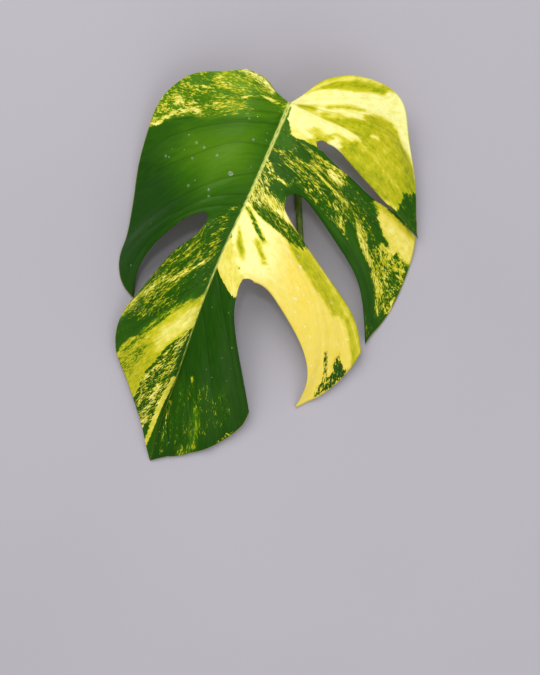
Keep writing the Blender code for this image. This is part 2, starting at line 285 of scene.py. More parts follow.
UPPER_LEFT_COLOURS = [
    patch([(-88, -48), (-78, -42), (-72, -37), (-68, -34), (-60, -31.5), (-50, -30.5), (-43, -28.5),
        (-38, -25), (-30, -22), (-20, -19), (-8, -14), (0, -6), (2, 8), (-40, 14), (-95, 2)], 0.385, 0.62,
        0.45, edge=1.5),
    # Painted light: the inner part of the upper left lobe, beside the midrib, is made a lighter green where
    # its slope faces the light
    patch([(-8, -18), (-60, -38), (-60, -60), (-30, -72), (-6, -56)], green=0.55, edge=18),
    # Painted shade: the lower outer part of the upper left lobe is made the darkest green, where it droops
    # away from the light
    patch([(-40, -88), (-82, -62), (-88, -110), (-62, -160), (-44, -115)], green=0, edge=12),
    patch([(-20, -5), (-5, -5), (-5, -15), (-20, -15)], 0.1, green=0.45, edge=3),
    patch([(-52, 6), (-28, 6), (-28, -5), (-52, -6)], 0.47, green=0.75, edge=4),
    patch([(-47, -11), (-28, -12), (-28, -19), (-46, -21)], 0.47, green=0.6, edge=3),
    patch([(-84, -18), (-66, -16), (-64, -32), (-74, -37), (-86, -42)], 0.45, 0.75, 0.5, edge=4),
    streak(2, [(-84, -22), (-70, -24), (-60, -23), (-54, -26)], 0.55, 0.8, edge=2.5),
    streak(1.2, [(-75, -37), (-70, -31), (-60, -27), (-54, -26)], 0.64, 0.9),
    streak(1.2, [(-85, -45.5), (-80, -43), (-77, -40)], 0.68, 0.9),
    streak(1.8, [(-38, 10.5), (-28, 9.2), (-20, 6.5), (-13, 2.5)], 0.62, 1, edge=1.5),
    streak(0.8, [(-17, -3), (-7, -3.5)], 0.75, 0.7, edge=0.7),
    streak(0.8, [(-62, -10), (-55, -9)], 0.7, 0.7, edge=0.7),
    streak(0.8, [(-53, -1), (-50, 0)], 0.7, 0.7, edge=0.7),
    streak(0.8, [(-30, -8), (-27, -7)], 0.7, 0.7, edge=0.7),
    patch([(-4, -70), (-12, -76), (-24, -88), (-4, -82)], 0.36, 0.6, edge=3),
]
LOWER_LEFT_COLOURS = [
    patch([(-7, -80), (-26, -90), (-62, -155), (-62, -176), (-40, -170), (-22, -152), (-10, -134),
        (-8, -118)], 0.4, 0.5, 0.1, edge=4),
    patch([(-5, -112), (-16, -124), (-28, -144), (-22, -150), (-8, -136)], 0.27, edge=5),
    patch([(-54, -164), (-62, -160), (-62, -196), (-50, -190), (-42, -176)], 0.22, edge=3),
    streak(1.2, [(-14, -117), (-22, -126), (-28, -133)], 0.58, 0.8, edge=1.5),
    streak(2.4, [(-28, -134), (-38, -140), (-45, -150), (-50, -158), (-57, -172)], 0.54, 0.75, 0.3,
        edge=2.5),
    patch([(-7, -136), (-6, -150), (-6, -160), (-9, -163), (-15, -172), (-20, -182), (-22, -190),
        (-26, -198), (-27, -208), (-28, -222), (-36, -222), (-50, -200), (-50, -196), (-48, -190),
        (-44, -182), (-38, -178), (-33, -172), (-28, -165), (-24, -157), (-12, -143)], 0.8, 0.29, 0.4,
        edge=1.6),
    patch([(-8, -144), (-16, -153), (-24, -165), (-28, -176), (-24, -184), (-10, -164), (-7, -158)], 0.95,
        0.66, edge=4),
    patch([(-53, -208), (-50, -194), (-44, -183), (-34, -174), (-31, -186), (-36, -212)], 0.53, 0.4, 0.3,
        edge=4),
    streak(1.8, [(-14, -144), (-26, -158), (-37, -174)], 0.5, green=0.3, edge=2),
    patch([(-7, -163), (-16, -178), (-22, -190), (-27, -206), (-28, -222), (-18, -238), (-10, -232),
        (-8, -200)], 0.455, 0.75, 0.05, edge=2),
    patch([(-5, -163), (-8, -172), (-8, -190), (-5, -196)], 0.2, edge=2),
    streak(1, [(-9, -165), (-16, -180), (-26, -205)], 0.56, 0.8, edge=1.5),
    streak(1.4, [(-7, -197), (-9, -216), (-10, -246)], 0.95, 0.5, edge=1),
    streak(1.4, [(-15, -206), (-16, -222), (-16, -238)], 0.56, 0.8, edge=1.5),
]
FIRST_RIGHT_COLOURS = [
    patch([(-5, -20), (-5, 30), (60, 50), (125, 20), (125, -70)], 1, 0.95, 0.4, edge=1),
    patch([(6, 10), (11, 11.5), (17, 15), (24, 18), (31, 20), (40, 22.5), (46, 25), (53, 27), (63, 29),
        (60, 40), (30, 36), (10, 24)], 0.85, 0.28, 0.8, edge=1.3),
    streak(1.4, [(12, 15), (26, 23), (42, 28), (56, 30)], 0.7, 0.12, 0.9, edge=2),
    streak(1.4, [(8, 9.5), (20, 23), (34, 30.5), (52, 34.5)], 1, 0.6),
    patch([(20, -1), (36, 3), (46, 6), (50, 11), (58, 14), (66, 13.5), (73, 10), (79, 3), (87, -3),
        (94, -10), (101, -24), (108, -40), (90, -38), (70, -34), (42, -20), (40, -12), (48, -9), (50, -6),
        (40, -4), (20, -3)], 0.95, 0.21, 0.9, edge=1.6),
    patch([(58, 10), (70, 8), (80, -4), (86, -16), (76, -20), (62, -12)], cream=0.3, edge=4),
    streak(1.2, [(54, -10), (66, -14), (84, -24)], cream=0.5, edge=3),
    streak(2.5, [(90, -12), (97, -24), (96, -34)], cream=0.12, edge=3),
    patch([(5, 0), (14, 3), (24, 6), (34, 7.5), (37, 2), (22, -3), (12, -3)], cream=0.52, green=0.9,
        edge=1.5),
    streak(1, [(6, -0.5), (14, 0.5), (26, 1)], cream=0.25),
    patch([(16, -13), (23, -9), (31, -12), (36, -20), (25, -18)], cream=0.45, edge=1.5),
    streak(1.8, [(20, 2), (34, 7), (48, 8)], cream=0.95, edge=1.5),
    streak(1.2, [(24, 5), (34, 9.5), (44, 12)], 0.8, 0.3, 0.9, edge=1.4),
    streak(1.2, [(30, -16), (36, -9), (42, -10)], cream=0.34, edge=1.6),
    streak(1.2, [(48, -7), (52, -7)], 1, 1, edge=0.8),
    streak(1, [(58, -1), (62, -1)], 1, 0.9, edge=0.8),
    streak(0.6, [(2, -1), (20, -3.5), (40, -4.5), (50, -6)], 1, 1, edge=0.6),
    patch([(22, -15), (32, -18), (35, -22), (24, -19)], 0.6, 0.3, 0.8),
    streak(2, [(60, 30), (74, 25), (82, 11)], 1, 0.95, edge=1.5),
    streak(0.8, [(82, 11), (88, 1), (102, -25), (108, -40)], 1, 0.9, edge=0.8),
    patch([(93, -25), (100, -24), (106, -30), (118, -55), (80, -38), (86, -37), (91, -39.5), (92, -37),
        (94, -31), (92, -28)], 0.27, 0.4, 0.1, edge=1),
    patch([(-3, -1), (2, -2), (2.5, -10), (-3, -12)], 0.1, green=0.4, edge=1),
]
SECOND_RIGHT_COLOURS = [
    patch([(-5, -14), (20, -22), (60, -35), (64, -70), (25, -50), (-5, -50)], 0.38, 0.7, 0.12, edge=2),
    patch([(3, -9), (30, -19), (28, -21), (22, -21), (9, -20), (5, -15)], 0.95, 0.8, edge=1),
    patch([(20, -18), (30, -19), (28, -21.5), (21, -21)], 0.8, 0.3, edge=1),
    streak(1, [(5, -32), (16, -38)], 0.6, 0.7, edge=1),
    patch([(17, -32), (26, -35), (26, -42), (17, -41)], 0.49, 0.65, edge=2),
    patch([(28, -26), (36, -28), (36, -37), (27, -35)], 0.49, 0.65, edge=2),
    patch([(36, -27), (53, -29), (53, -34), (36, -33)], 0.5, 0.6, edge=1.6),
    patch([(37, -32), (46, -32.5), (54, -37), (50, -40), (41, -36.5)], 0.62, 0.85, edge=2),
    streak(0.9, [(36, -39), (50, -45), (60, -49)], 0.62, 0.6, edge=0.8),
    streak(4.5, [(28, -45), (52, -55), (60, -60)], 0.43, 0.7, 0.12, edge=3),
    patch([(16, -27), (25, -29), (24, -32), (16, -31)], 0.05, edge=1.5),
    patch([(54, -32), (66, -35), (80, -40), (84, -52), (78, -56), (60, -44)], 0.3, 0.6, 0.1, edge=3),
    patch([(-6, -10), (2, -10), (12, -24), (12, -30), (-6, -30)], 0.25, green=0.3, edge=2),
    patch([(-4, -36), (22, -40), (24, -52), (-4, -52)], 0.3, green=0.12, edge=2.5),
    patch([(60, -42), (83, -56), (88, -66), (74, -66), (60, -58)], 0.38, 0.6, edge=3),
    streak(1.1, [(60, -62), (68, -70)], 0.58, 0.5, edge=1),
    patch([(84, -62), (100, -68), (112, -66), (114, -90), (110, -108), (96, -96), (86, -80)], 0.48, 0.6,
        0.12, edge=2.5),
    patch([(74, -39), (85, -40), (100, -45), (113, -50), (118, -62), (115, -69), (108, -66.5), (103, -65.5),
        (100, -68), (94, -62), (88, -57), (84, -54), (83, -50), (80, -45)], 0.95, 0.7, 0.6, 0.3),
    # Painted shade: an olive streak along the second right lobe's upper edge, where the first right lobe
    # lies over it and shades it
    streak(1.6, [(77, -41), (92, -44.5), (110, -52)], 0.72, 0.25, 0.7, edge=1.4),
    patch([(68, -56), (74, -58), (80, -64), (85, -73), (90, -79), (86, -81), (78, -73), (72, -65)], 0.58,
        0.7, 0.2, edge=1.5),
    patch([(88, -62), (95, -64), (100, -68), (97, -70.5), (90, -67)], 0.75, 0.55, edge=1),
    patch([(90, -80), (96, -86), (101, -92), (104, -101), (109, -111), (105, -111), (99, -100), (97, -91),
        (92, -87)], 0.62, 0.6, 0.2, edge=1.5),
    patch([(25, -49), (40, -58), (55, -68), (65, -73), (72, -75), (80, -80), (88, -87), (95, -94),
        (99, -101), (101, -108), (105, -112), (112, -118), (110, -136), (98, -132), (10, -60)], 0.16,
        green=0.06, edge=1.5),
    patch([(98, -112), (104, -114), (108, -124), (102, -124)], 0.36, 0.5, edge=3),
    streak(1, [(112, -96), (111, -108)], 0.8, 0.6, edge=0.8),
    patch([(-4, -37), (3, -41), (9, -47), (15, -56), (-5, -56)], 0.5, 0.85, edge=2),
    streak(0.9, [(13, -50), (18, -52)], 0.7, 0.8, edge=1),
]
THIRD_RIGHT_COLOURS = [
    patch([(-6, -46), (115, -130), (115, -180), (60, -200), (-6, -125)], 1, 1, 0.3, edge=1),
    patch([(26, -76), (60, -92), (110, -135), (108, -200), (60, -200), (50, -150), (32, -112)], cream=0.85,
        gold=0.72, edge=14),
    patch([(12, -116), (30, -116), (56, -134), (76, -166), (40, -140)], gold=0.75, edge=4),
    patch([(32, -88), (40, -95), (70, -116), (77, -121), (83, -120), (90, -127), (94, -134), (99, -142),
        (101, -150), (110, -150), (100, -118), (40, -74), (28, -78)], 0.95, 0.22, 0.8, 0.1, edge=1.4),
    streak(1.2, [(44, -85), (70, -103), (92, -121), (103, -138)], 0.95, 0.5, edge=1.5),
    patch([(-6, -44), (14, -50), (22, -60), (22, -70), (8, -72), (-6, -70)], 0.43, 0.85, 0.15, edge=1.5),
    patch([(-5, -50), (8, -55), (11, -65), (7, -71), (-5, -70)], 0.53, 0.9, edge=2),
    patch([(6, -51), (18, -53), (20, -60), (8, -60)], 0.3, edge=1.5),
    patch([(5, -63), (14, -63.5), (22, -66), (20, -69), (8, -68)], 0.6, 0.7, edge=1.5),
    patch([(-3, -70), (10, -71), (20, -71.5), (30, -75), (38, -79), (49, -85), (42, -88), (33, -87.5),
        (25, -83), (15, -80), (5, -76)], 0.385, 0.6, 0.15),
    streak(1.6, [(-1, -75), (5, -80), (10, -86), (17, -92)], 0.4, 0.3, 0.3),
    patch([(-2, -88), (3, -95), (7, -102), (9, -109), (4, -105), (0, -99)], 0.85, 0.14, 0.5, edge=1.6),
    streak(1.3, [(12, -93), (18, -100), (23, -105)], 0.75, 0.12, 0.5, edge=1.4),
    patch([(90, -140), (93, -147), (100, -150), (100, -158), (94, -166), (89, -172), (84, -170), (90, -158),
        (88, -150)], 0.36, 0.6, 0, edge=1.4),
    streak(1.6, [(81, -145), (85, -154), (87, -163), (86, -176)], 0.42, green=0.05, edge=1.6),
]
LOWER_RIGHT_COLOURS = [
    # Painted shade: the whole lower right lobe is made the darkest green, where it tilts away from the
    # light
    patch([(-10, -110), (60, -130), (60, -260), (-10, -260)], green=0.03, edge=8),
    patch([(-8, -96), (4, -100), (6, -112), (14, -122), (13, -132), (9, -132), (3, -127.5), (-2, -123),
        (-6, -118)], 1, 0.66, gold=0.15, edge=0.8),
    streak(1.2, [(4, -192), (8, -199)], 0.5, 0.5, edge=1),
    streak(1.2, [(31, -195), (36, -207)], 0.5, 0.4),
    streak(1.8, [(-4, -213), (-1, -230), (2, -248)], 0.52, 0.75, edge=1.5),
    patch([(11, -240), (16, -232), (23, -238), (13, -248)], 0.56, 0.4, 0.4, edge=2),
    patch([(-4, -196), (30, -190), (38, -212), (22, -238), (0, -246)], 0.29, 0.4, 0.08, edge=5),
    streak(2.4, [(14, -212), (18, -224), (20, -236)], 0.42, green=0.35, edge=2.5),
    streak(0.8, [(35, -228), (42, -218)], 0.6, 0.4, edge=0.8),
]
LEFT_COLOURS = [UPPER_LEFT_COLOURS, LOWER_LEFT_COLOURS]
RIGHT_COLOURS = [FIRST_RIGHT_COLOURS, SECOND_RIGHT_COLOURS, THIRD_RIGHT_COLOURS,
                 LOWER_RIGHT_COLOURS]


def line_distance(points, path):
    """Distance of plan points to a polyline."""
    nearest = np.full(len(points), np.inf)
    for a, b in zip(path, path[1:]):
        a = np.array(a, dtype=float)
        side = np.array(b, dtype=float) - a
        t = np.clip(((points - a) @ side) / max(side @ side, 1e-9), 0, 1)
        gap = np.linalg.norm(points - a - t[:, None] * side, axis=1)
        nearest = np.minimum(nearest, gap)
    return nearest


def inside(points, outline):
    """Which plan points lie inside an outline."""
    within = np.zeros(len(points), dtype=bool)
    for (ax, ay), (bx, by) in zip(outline, outline[1:] + outline[:1]):
        if ay == by:
            continue
        crosses = (ay > points[:, 1]) != (by > points[:, 1])
        x = ax + (points[:, 1] - ay) / (by - ay) * (bx - ax)
        within ^= crosses & (points[:, 0] < x)
    return within


def smoothstep(low, high, values):
    """0 below low, 1 above high, and a smooth rise between them."""
    t = np.clip((values - low) / (high - low), 0, 1)
    return t * t * (3 - 2 * t)


def paint(points, patches):
    """The colour fields at plan points, with the patches laid over the ground one by one."""
    fields = {name: np.full(len(points), level) for name, level in GROUND.items()}
    for one in patches:
        outline = one["outline"]
        if one["width"] is None:
            depth = line_distance(points, outline + outline[:1])
            depth = np.where(inside(points, outline), depth, -depth)
        else:
            depth = one["width"] - line_distance(points, outline)
        cover = smoothstep(-one["edge"], one["edge"], depth)
        for name, level in one["levels"].items():
            if level is not None:
                fields[name] = fields[name] * (1 - cover) + level * cover
    return fields


# ---------------------------------------------------------------- blade mesh
# In millimetres of the leaf: the quilting between veins, the groove along each vein, the double
# ridge along the midrib, the wavy margin, and the teeth of the colour boundaries
QUILT_SHARE = 0.045
QUILT_LIMIT = 0.7
VEIN_GROOVE = 0.3
VEIN_WIDTH = 1.5
VEIN_MARK_REACH = 1.6
MIDRIB_RIDGE = 0.55
MIDRIB_TIP_WIDTH = 0.3
MIDRIB_TAPER = 1.5
MIDRIB_MARK_REACH = 1.9
WAVE_HEIGHT = 0.5
WAVE_LENGTHS = (4.3, 11.0)
FEATHER_SIZE = 1.2
FEATHER_LENGTH = 9.0
FEATHER_SEED = 11
# Only every so many points of the midrib are searched for the nearest one
MIDRIB_STRIDE = 4
WELD_GAP = 0.02
# The vein coordinates are lengths over this, and those of the right side start far on
UV_UNIT = 100.0
RIGHT_UV_START = 1000.0
LEAST_WEIGHT = 0.001


def midrib_gap(points):
    """Distance of points to the midrib in plan, and how far along it the nearest place is."""
    curve = MIDRIB_CURVE[::MIDRIB_STRIDE]
    lengths = MIDRIB_LENGTHS[::MIDRIB_STRIDE]
    squares = ((points[:, None, :2] - curve[None, :, :2]) ** 2).sum(axis=2)
    nearest = squares.argmin(axis=1)
    return np.sqrt(squares.min(axis=1)), lengths[nearest]


def relief(net):
    """Height of the veins, the quilting between them and the wavy margin, and the vein mark."""
    points = net["points"]
    steps = np.linalg.norm(np.diff(points, axis=0), axis=2)
    across = np.zeros(points.shape[:2])
    across[1:] = np.cumsum(steps, axis=0)
    v = net["fractions"][None, :]
    height = np.zeros(points.shape[:2])
    mark = np.zeros(points.shape[:2])
    rows = net["rows"]
    for k in range(len(rows) - 1):
        near, far = rows[k], rows[k + 1]
        width = np.maximum(across[far] - across[near], 1e-3)
        share = (across[near:far + 1] - across[near]) / width
        bulge = np.minimum(QUILT_SHARE * width, QUILT_LIMIT) * np.sin(math.pi * share) ** 2
        height[near:far + 1] += bulge * smoothstep(0.02, 0.25, v) * (1 - 0.6 * smoothstep(0.7, 1, v))
    for row, guide in zip(rows, net["guides"]):
        if guide["stem"] or row in (0, len(across) - 1):
            continue
        gap = np.abs(across - across[row])
        width = VEIN_WIDTH * (1 - 0.6 * v)
        fade = 1 - smoothstep(0.75, 0.98, v)
        height -= VEIN_GROOVE * np.exp(-(gap / width) ** 2) * fade
        mark = np.maximum(mark, np.clip(1 - gap / (VEIN_MARK_REACH * width), 0, 1) * fade)
    short, long = WAVE_LENGTHS
    wave = np.sin(net["at"] / short) * np.sin(net["at"] / long + 1.0)
    height += WAVE_HEIGHT * wave[:, None] * smoothstep(0.6, 1, v)
    return height, mark


def feathered(net, rng):
    """The net's plan points moved a little along their veins, each row by its own amount, so
    that a colour boundary crossing the veins breaks into short teeth."""
    points = net["points"][:, :, :2]
    ways = np.gradient(points, axis=1)
    ways /= np.maximum(np.linalg.norm(ways, axis=2), 1e-6)[:, :, None]
    place = net["along"] / FEATHER_LENGTH
    near = place.astype(int)
    random = rng.normal(size=(len(points), near.max() + 2))
    row = np.arange(len(points))[:, None]
    share = place - near
    moves = FEATHER_SIZE * (random[row, near] * (1 - share) + random[row, near + 1] * share)
    moves *= smoothstep(4, 30, net["along"])
    return (points + moves[:, :, None] * ways).reshape(-1, 2)


def make_lobes(lobes, colours, stations, fractions, flip):
    """The nets of one side of the blade as arrays of points, faces, vein coordinates, fields."""
    parts = []
    shift = 0.0
    rng = np.random.default_rng(FEATHER_SEED)
    for guides, patches in zip(lobes, colours):
        net = lobe_net(guides, stations, fractions)
        height, mark = relief(net)
        rows, columns = net["points"].shape[:2]
        flat = net["points"].reshape(-1, 3)
        index = np.arange(rows * columns).reshape(rows, columns)
        quads = np.stack((index[:-1, :-1], index[:-1, 1:], index[1:, 1:], index[1:, :-1]), axis=-1)
        quads = quads.reshape(-1, 4)
        if flip:
            quads = quads[:, ::-1]
        fields = paint(feathered(net, rng), patches)
        fields["relief"] = height.reshape(-1)
        fields["vein"] = mark.reshape(-1)
        fields["margin"] = np.tile(fractions == 1, rows).astype(float)
        uv = np.stack((net["along"], np.repeat((net["at"] + shift)[:, None], columns, axis=1)),
                      axis=-1).reshape(-1, 2)
        shift += net["at"][-1]
        parts.append({"points": flat, "quads": quads, "fields": fields, "uv": uv})
    return parts


def drop_folds(mesh):
    """Delete the slivers that welding folded onto their neighbours, so no edge has three faces."""
    crowded = [edge for edge in mesh.edges if len(edge.link_faces) > 2]
    while crowded:
        slivers = [min(edge.link_faces, key=lambda face: face.calc_area()) for edge in crowded]
        bmesh.ops.delete(mesh, geom=list(dict.fromkeys(slivers)), context="FACES")
        crowded = [edge for edge in mesh.edges if len(edge.link_faces) > 2]


def blade_sheet():
    """The upper side of the blade as one welded mesh in leaf millimetres, with its fields."""
    stations = midrib_stations(LEFT_LOBES + RIGHT_LOBES)
    fractions = vein_fractions()
    parts = make_lobes(LEFT_LOBES, LEFT_COLOURS, stations, fractions, flip=False)
    right = make_lobes(RIGHT_LOBES, RIGHT_COLOURS, stations, fractions, flip=True)
    for part in right:
        part["uv"][:, 1] += RIGHT_UV_START
    parts += right
    firsts = np.cumsum([0] + [len(part["points"]) for part in parts[:-1]])
    points = np.concatenate([part["points"] for part in parts])
    quads = np.concatenate([part["quads"] + first for part, first in zip(parts, firsts)])
    uv = np.concatenate([part["uv"] for part in parts])
    names = parts[0]["fields"].keys()
    fields = {name: np.concatenate([part["fields"][name] for part in parts]) for name in names}

    data = bpy.data.meshes.new("leaf_blade_sheet")
    data.from_pydata(points.tolist(), [], quads.tolist())
    layer = data.uv_layers.new(name="veins")
    corners = np.zeros(len(data.loops), dtype=np.int32)
    data.loops.foreach_get("vertex_index", corners)
    layer.data.foreach_set("uv", (uv[corners] / UV_UNIT).reshape(-1).astype(np.float32))
    for name in names:
        attribute = data.attributes.new(name, "FLOAT", "POINT")
        attribute.data.foreach_set("value", fields[name].astype(np.float32))

    mesh = bmesh.new()
    mesh.from_mesh(data)
    bmesh.ops.remove_doubles(mesh, verts=mesh.verts, dist=WELD_GAP)
    bmesh.ops.dissolve_degenerate(mesh, edges=mesh.edges, dist=WELD_GAP)
    drop_folds(mesh)
    for guides in [LEFT_LOBES[0]] + RIGHT_LOBES[:-1]:
        slit = guides[-1]
        inner_end = Vector(slit["plan"][slit["stem"] - 1])
        near = [v for v in mesh.verts if (v.co.xy - inner_end).length < SLIT_END_RADIUS]
        for _ in range(SLIT_END_SMOOTHING):
            bmesh.ops.smooth_vert(mesh, verts=near, factor=0.5, use_axis_x=True, use_axis_y=True,
                                  use_axis_z=True)
    mesh.to_mesh(data)
    mesh.free()
    return data


def add_object(name, data):
    """A new object in the scene."""
    made = bpy.data.objects.new(name, data)
    bpy.context.scene.collection.objects.link(made)
    return made


def mesh_data(name, mesh):
    """Mesh data from a bmesh, which is freed."""
    data = bpy.data.meshes.new(name)
    mesh.to_mesh(data)
    mesh.free()
    return data


def finish_data(data, *materials):
    """Smooth shading and the materials of a mesh."""
    for material in materials:
        data.materials.append(material)
    data.shade_smooth()


def shift_onto_box(points, node):
    """The move in metres that brings points in millimetres to the middle and top of a node's box."""
    cad_low, cad_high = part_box(node)
    low, high = points.min(axis=0) * MM, points.max(axis=0) * MM
    return Vector(((cad_low.x + cad_high.x - low[0] - high[0]) / 2,
                   (cad_low.y + cad_high.y - low[1] - high[1]) / 2, cad_high.z - high[2]))


def join_rings(mesh, this, after):
    """Faces between two rings of points, in their order round the ring."""
    count = len(this)
    return [mesh.faces.new((this[j], this[(j + 1) % count], after[(j + 1) % count], after[j]))
            for j in range(count)]


def values_of(data, name):
    """A float attribute of a mesh as an array."""
    values = np.zeros(len(data.vertices), dtype=np.float32)
    data.attributes[name].data.foreach_get("value", values)
    return values


def points_of(data):
    """A mesh's points as an array."""
    points = np.zeros(len(data.vertices) * 3, dtype=np.float32)
    data.vertices.foreach_get("co", points)
    return points.reshape(-1, 3).astype(float)


def midrib_depth(distance):
    """How deep the midrib is below the blade's upper side at a distance from the base."""
    return MIDRIB_TIP_DEPTH + (MIDRIB_DEPTH - MIDRIB_TIP_DEPTH) * (1 - distance / MIDRIB_LENGTH)


def add_relief(data):
    """Raise the mesh by its relief and by the midrib's double ridge, and mark the midrib."""
    points = points_of(data)
    gap, distance = midrib_gap(points)
    left = 1 - distance / MIDRIB_LENGTH
    width = MIDRIB_TIP_WIDTH + (1 - MIDRIB_TIP_WIDTH) * left ** MIDRIB_TAPER
    ridge = MIDRIB_RIDGE * (0.35 + 0.65 * left)
    shape = np.exp(-((gap - width) / (0.55 * width)) ** 2) - 0.5 * np.exp(-(gap / (0.5 * width)) ** 2)
    fade = smoothstep(1.2, 5, gap)
    points[:, 2] += values_of(data, "relief") * fade + ridge * shape
    data.vertices.foreach_set("co", points.reshape(-1).astype(np.float32))
    mark = data.attributes.new("midrib", "FLOAT", "POINT")
    line = np.clip(1 - gap / (MIDRIB_MARK_REACH * width), 0, 1) * (0.45 + 0.55 * left)
    mark.data.foreach_set("value", line.astype(np.float32))
    depth = VEIN_DEPTH * values_of(data, "vein") * smoothstep(0.5, 4, gap)
    foot = np.clip(1 - gap / MIDRIB_FOOT, 0, 1) * (midrib_depth(distance) - BLADE_THICKNESS)
    return np.maximum(depth, foot)


def build_blade(upper, lower):
    """The blade with its upper and lower sides, in metres, where the CAD blade's box is."""
    data = blade_sheet()
    shift = shift_onto_box(points_of(data), "leaf_blade")
    extra = add_relief(data)
    data.transform(Matrix.Translation(shift) @ Matrix.Scale(MM, 4))
    finish_data(data, upper, lower)
    blade = add_object("leaf_blade_detailed", data)
    group = blade.vertex_groups.new(name="thick")
    weights = np.clip(extra / (MIDRIB_DEPTH - BLADE_THICKNESS), 0, 1)
    for index in np.nonzero(weights > LEAST_WEIGHT)[0]:
        group.add([int(index)], float(weights[index]), "REPLACE")
    solidify = blade.modifiers.new("thickness", "SOLIDIFY")
    solidify.thickness = MIDRIB_DEPTH * MM
    solidify.offset = -1
    solidify.vertex_group = group.name
    solidify.thickness_vertex_group = BLADE_THICKNESS / MIDRIB_DEPTH
    solidify.use_even_offset = False
    solidify.material_offset = 1
    return blade, shift


# ---------------------------------------------------------------- materials
def linear(red, green, blue):
    """A colour given in sRGB bytes, as the shader's linear colour."""
    values = []
    for byte in (red, green, blue):
        share = byte / 255
        values.append(share / 12.92 if share <= 0.04045 else ((share + 0.055) / 1.055) ** 2.4)
    return (*values, 1.0)


class Tree:
    """A material's node tree with short ways to add nodes and join them."""

    def __init__(self, name):
        """A new material with its shader and an empty tree round it."""
        self.material = bpy.data.materials.new(name)
        self.material.use_nodes = True
        self.nodes = self.material.node_tree.nodes
        self.links = self.material.node_tree.links
        self.shader = self.nodes["Principled BSDF"]

    def put(self, socket, value):
        """Set a socket, or join another node's socket to it."""
        if isinstance(value, bpy.types.NodeSocket):
            self.links.new(value, socket)
        else:
            socket.default_value = value

    def set(self, name, value):
        """Set one of the shader's sockets, or join to it."""
        self.put(self.shader.inputs[name], value)

    def add(self, kind, output, inputs, **settings):
        """One output of a new node with these settings and inputs."""
        made = self.nodes.new("ShaderNode" + kind)
        for name, value in settings.items():
            setattr(made, name, value)
        for name, value in inputs.items():
            self.put(made.inputs[name], value)
        return made.outputs[output]

    def attribute(self, name):
        """A float field of the mesh."""
        return self.add("Attribute", "Fac", {}, attribute_name=name)

    def uv(self, name):
        """The coordinates in one of the mesh's UV layers."""
        return self.add("UVMap", "UV", {}, uv_map=name)

    def position(self):
        """Object coordinates."""
        return self.add("TexCoord", "Object", {})

    def stretch(self, vector, scale, place=(0, 0, 0)):
        """Coordinates scaled and moved."""
        inputs = {"Vector": vector, "Scale": scale, "Location": place}
        return self.add("Mapping", "Vector", inputs)

    def noise(self, vector, scale, detail=3.0, roughness=0.5, distortion=0.0):
        """Fractal noise, 0 to 1 around 0.5."""
        inputs = {"Vector": vector, "Scale": scale, "Detail": detail, "Roughness": roughness,
                  "Distortion": distortion}
        return self.add("TexNoise", "Fac", inputs)

    def cells(self, vector, scale):
        """Distance to the edge between cells."""
        inputs = {"Vector": vector, "Scale": scale}
        return self.add("TexVoronoi", "Distance", inputs, feature="DISTANCE_TO_EDGE")

    def maths(self, operation, first, second=0.0, third=0.0):
        """One arithmetic step."""
        return self.add("Math", "Value", {0: first, 1: second, 2: third}, operation=operation)

    def sway(self, level, noise, amount):
        """A level moved up and down by noise."""
        return self.maths("MULTIPLY_ADD", self.maths("SUBTRACT", noise, 0.5), amount, level)

    def rise(self, value, low, high, start=0.0, end=1.0):
        """A smooth rise from start to end as value goes from low to high."""
        inputs = {"Value": value, "From Min": low, "From Max": high, "To Min": start, "To Max": end}
        return self.add("MapRange", "Result", inputs, interpolation_type="SMOOTHSTEP")

    def ramp(self, value, stops):
        """A colour read from a row of stops."""
        made = self.nodes.new("ShaderNodeValToRGB")
        self.put(made.inputs["Fac"], value)
        elements = made.color_ramp.elements
        while len(elements) < len(stops):
            elements.new(0.5)
        for element, (place, colour) in zip(elements, stops):
            element.position = place
            element.color = colour
        return made.outputs["Color"]

    def mix(self, factor, first, second, blend="MIX"):
        """Two colours mixed by a factor."""
        inputs = {0: factor, 6: first, 7: second}
        return self.add("Mix", 2, inputs, data_type="RGBA", blend_type=blend)

    def bump(self, height, distance, strength=1.0, under=None):
        """A bump of a height field, in metres, laid over another bump."""
        inputs = {"Height": height, "Distance": distance, "Strength": strength}
        if under is not None:
            inputs["Normal"] = under
        return self.add("Bump", "Normal", inputs)


GREENS = [(0.0, linear(22, 66, 0)), (0.3, linear(48, 98, 0)), (0.65, linear(86, 132, 8)),
          (1.0, linear(124, 158, 22))]
PALES = [(0.0, linear(132, 152, 16)), (0.22, linear(182, 181, 17)), (0.42, linear(207, 200, 38)),
         (0.54, linear(226, 214, 80)), (0.74, linear(242, 232, 118)), (1.0, linear(255, 251, 166))]
GOLD = linear(245, 212, 68)
MIDRIB_EDGE = linear(222, 226, 116)
MIDRIB_MIDDLE = linear(146, 172, 44)
MARGIN_HIGHLIGHT = linear(186, 196, 74)
PAINTED_VEIN_SHADE = linear(176, 182, 96)
LOWER_TINT = linear(176, 190, 120)
LOWER_RIBS = linear(186, 200, 112)
STALK_GREENS = [(0.3, linear(58, 88, 14)), (0.48, linear(88, 118, 26)),
                (0.6, linear(122, 146, 44)), (0.75, linear(190, 196, 96))]
KNEE_COLOUR = linear(54, 74, 14)
PITH_COLOURS = [(0.0, linear(150, 150, 84)), (0.4, linear(206, 208, 150))]
FLOOR_COLOURS = [(0.3, linear(178, 173, 180)), (0.7, linear(183, 178, 185))]


